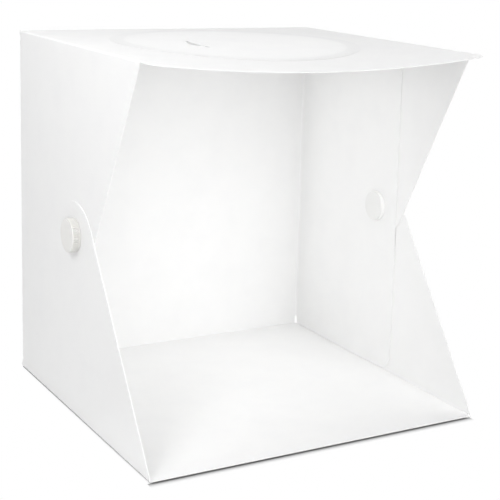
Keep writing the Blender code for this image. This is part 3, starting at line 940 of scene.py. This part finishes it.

# %% [markdown]
# ## The stage
#
# The tent stands on pure white, with only a thin dark line where it touches. The floor is plain matte white.
# In the open it shows the camera a strength of 1, which is white. Close to the tent it shows its real light
# and shadow instead, on a colour that ambient occlusion darkens as painted shade. Ambient occlusion measures
# how close the tent is.
#
# A sheet never lies quite flat, so the floor is a little lower than the sheet: that gap is the dark line. In
# front of the tent a soft painted shadow a few millimetres wide lies on the floor. It is darkest under the
# front edge and fades towards the camera, so there the floor's colour follows the distance from that edge.

# %% Floor
WHITE = linear("#FFFFFF")
FLOOR_REACH = 6.0
FLOOR_GAP = 0.0019        # the floor below the tent's middle
FLOOR_SLOPE = 0.0036      # metres per metre that it falls towards the front
SHADOW_REACH = 0.005      # metres from the tent at which the floor is plain white again
# in front of the tent the shadow is painted on the floor, and fades out this far from its front edge
FRONT_SHADOW = 0.0065     # the same in front of it, where its soft shadow falls,
SHADOW_START = 0.004      # and how far under the tent that shadow is darkest
SIDE_SHADOW = 0.0015      # how far that shadow runs past the tent's sides
# colour of the painted shadow in front of the tent
PAINTED_FRONT_SHADOW = linear("#848484")
OPEN_SPAN = (0.3, 0.5)    # the occlusion values between which the floor turns plain white
COVERED_SPAN = (0.1, 0.5)          # and those between which its two shaded tones blend
# tones of the painted shade that ambient occlusion lays on the floor close to the tent
AO_PAINTED_SHADE_TONES = ("#6E6E6E", "#F2F2F2")
AO_SAMPLES = 16

shape = bmesh.new()
bmesh.ops.create_grid(shape, x_segments=2, y_segments=2, size=FLOOR_REACH)
mesh = bpy.data.meshes.new("stage_floor")
shape.to_mesh(mesh)
shape.free()
floor = bpy.data.objects.new("stage_floor", mesh)
floor.location.z = -FLOOR_GAP
floor.rotation_euler.x = FLOOR_SLOPE
bpy.context.scene.collection.objects.link(floor)


def seen_directly(tree):
    """1 where the camera, a reflection or a view through glass looks, and 0 where light is gathered."""
    ray = add(tree, "ShaderNodeLightPath")
    either = {0: (ray, "Is Camera Ray"), 1: (ray, "Is Glossy Ray")}
    sees = add(tree, "ShaderNodeMath", either, operation="MAXIMUM")
    either = {0: (sees, "Value"), 1: (ray, "Is Transmission Ray")}
    return add(tree, "ShaderNodeMath", either, operation="MAXIMUM")


material, output = new_material("white_floor_with_painted_shadow")
tree = material.node_tree
sees = seen_directly(tree)
near = add(tree, "ShaderNodeAmbientOcclusion", {"Distance": SHADOW_REACH}, samples=AO_SAMPLES)
open_floor = add(tree, "ShaderNodeMapRange", {
    "Value": (near, "AO"), "From Min": OPEN_SPAN[0], "From Max": OPEN_SPAN[1],
})
place = add(tree, "ShaderNodeTexCoord")
axes = add(tree, "ShaderNodeSeparateXYZ", {0: (place, "Object")})
front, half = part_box("floor_panel")[0].y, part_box("right_lower_flap")[1].x
# painted shadow in front of the tent, by the distance from its front edge
ahead = add(tree, "ShaderNodeMapRange", {
    "Value": (axes, "Y"), "From Min": front + SHADOW_START, "From Max": front - FRONT_SHADOW,
})
width = add(tree, "ShaderNodeMath", {0: (axes, "X")}, operation="ABSOLUTE")
aside = add(tree, "ShaderNodeMapRange", {
    "Value": (width, "Value"), "From Min": half, "From Max": half + SIDE_SHADOW,
})
start = {0: (axes, "Y"), 1: front + SHADOW_START}
behind = add(tree, "ShaderNodeMath", start, operation="GREATER_THAN")
clear = add(tree, "ShaderNodeMath", {0: (ahead, "Result"), 1: (aside, "Result")}, operation="MAXIMUM")
clear = add(tree, "ShaderNodeMath", {0: (clear, "Value"), 1: (behind, "Value")}, operation="MAXIMUM")
share = add(tree, "ShaderNodeMath", {0: (open_floor, "Result"), 1: (clear, "Value")}, operation="MINIMUM")
share = add(tree, "ShaderNodeMath", {0: (sees, "Value"), 1: (share, "Value")}, operation="MULTIPLY")
# the floor's colour darkened by ambient occlusion, as painted shade
ao_painted_shade = add_ramp(tree, (near, "AO"), AO_PAINTED_SHADE_TONES, COVERED_SPAN)
shaded = add(tree, "ShaderNodeMix", {0: (clear, "Value"), 6: PAINTED_FRONT_SHADOW, 7: ao_painted_shade}, data_type="RGBA")
paper = add(tree, "ShaderNodeBsdfDiffuse", {"Color": (shaded, 2)})
white = add(tree, "ShaderNodeEmission", {"Color": WHITE, "Strength": 1.0})
mixed = add(
    tree, "ShaderNodeMixShader", {0: (share, "Value"), 1: (paper, "BSDF"), 2: (white, "Emission")}
)
tree.links.new(mixed.outputs["Shader"], output.inputs["Surface"])
mesh.materials.append(material)
print("floor", round(FLOOR_GAP * 1000, 2), "mm below the tent; its front is at", round(front * 1000, 1), "mm")

# %% [markdown]
# ## Light
#
# A tent like this is lit from outside by large soft lamps. Here the world is such a room: bright in front and
# behind, softer above and below, and dark to the sides. Its strength in a direction is a sum of the squares
# of that direction's x, y and z, which is one dot product.
#
# Six soft lamps outside add what the photo shows: light from high in front and from above, some on both
# sides, and more at the top and the front of the left side. The real sheets also let light through, more of
# it than scattering in a solid passes on. Four weak lamps inside the tent stand for that light: it comes in
# through the roof and the back, returns from the floor and fills the rear corner.

# %% World
ROOM = (0, 1.56, 0.18)    # strength of the world to the sides, to front and back, and above and below

world = bpy.data.worlds.new("studio")
world.use_nodes = True
bpy.context.scene.world = world
tree = world.node_tree
tree.nodes.clear()
toward = add(tree, "ShaderNodeTexCoord")
square = {0: (toward, "Generated"), 1: (toward, "Generated")}
squared = add(tree, "ShaderNodeVectorMath", square, operation="MULTIPLY")
strength = add(tree, "ShaderNodeVectorMath", {0: (squared, "Vector"), 1: ROOM}, operation="DOT_PRODUCT")
light = add(tree, "ShaderNodeBackground", {"Color": WHITE, "Strength": (strength, "Value")})
seen = add(tree, "ShaderNodeBackground", {"Color": WHITE, "Strength": 1.0})
mixed = add(
    tree, "ShaderNodeMixShader",
    {0: (seen_directly(tree), "Value"), 1: (light, "Background"), 2: (seen, "Background")},
)
add(tree, "ShaderNodeOutputWorld", {"Surface": (mixed, "Shader")})
print("room strength along x, y and z:", ROOM)

# %% Lamps
TENT_MIDDLE = (0, 0, 0.19)


def add_lamp(name, place, target, size, power):
    """A soft square lamp that points at a target."""
    lamp = bpy.data.lights.new(name, "AREA")
    lamp.shape = "SQUARE"
    lamp.size = size
    lamp.energy = power
    holder = bpy.data.objects.new(name, lamp)
    holder.location = place
    holder.rotation_euler = (Vector(target) - Vector(place)).to_track_quat("-Z", "Y").to_euler()
    bpy.context.scene.collection.objects.link(holder)
    holder.visible_camera = False


add_lamp("front_softbox", (0.1, -1.7, 1.2), TENT_MIDDLE, 1.0, 7.2)
add_lamp("overhead_softbox", (-0.2, -0.3, 1.4), TENT_MIDDLE, 0.8, 2.0)
add_lamp("left_softbox", (-0.9, -0.35, 0.9), (-0.187, -0.1, 0.3), 0.5, 4.3)
add_lamp("right_softbox", (0.95, 0.35, 0.46), (0.187, 0.05, 0.2), 0.5, 2.5)
add_lamp("left_top_softbox", (-0.42, 0, 0.62), (-0.187, 0, 0.37), 0.3, 0.185)
add_lamp("left_front_softbox", (-0.5, -0.42, 0.25), (-0.187, -0.12, 0.22), 0.3, 0.16)
add_lamp("glow_from_the_roof", (0, 0, 0.36), (0, 0, 0), 0.25, 0.1)
add_lamp("glow_from_the_back", (0, 0.165, 0.2), (0, -1, 0.2), 0.3, 0.047)
add_lamp("glow_from_the_floor", (0, -0.05, 0.05), (0.02, 0.15, 0.4), 0.25, 0.026)
add_lamp("glow_toward_the_corner", (0.02, 0.02, 0.2), (0.184, 0.18, 0.2), 0.25, 0.031)
bpy.context.scene.view_settings.view_transform = "Standard"
print("lamps:", [lamp.name for lamp in bpy.data.lights])
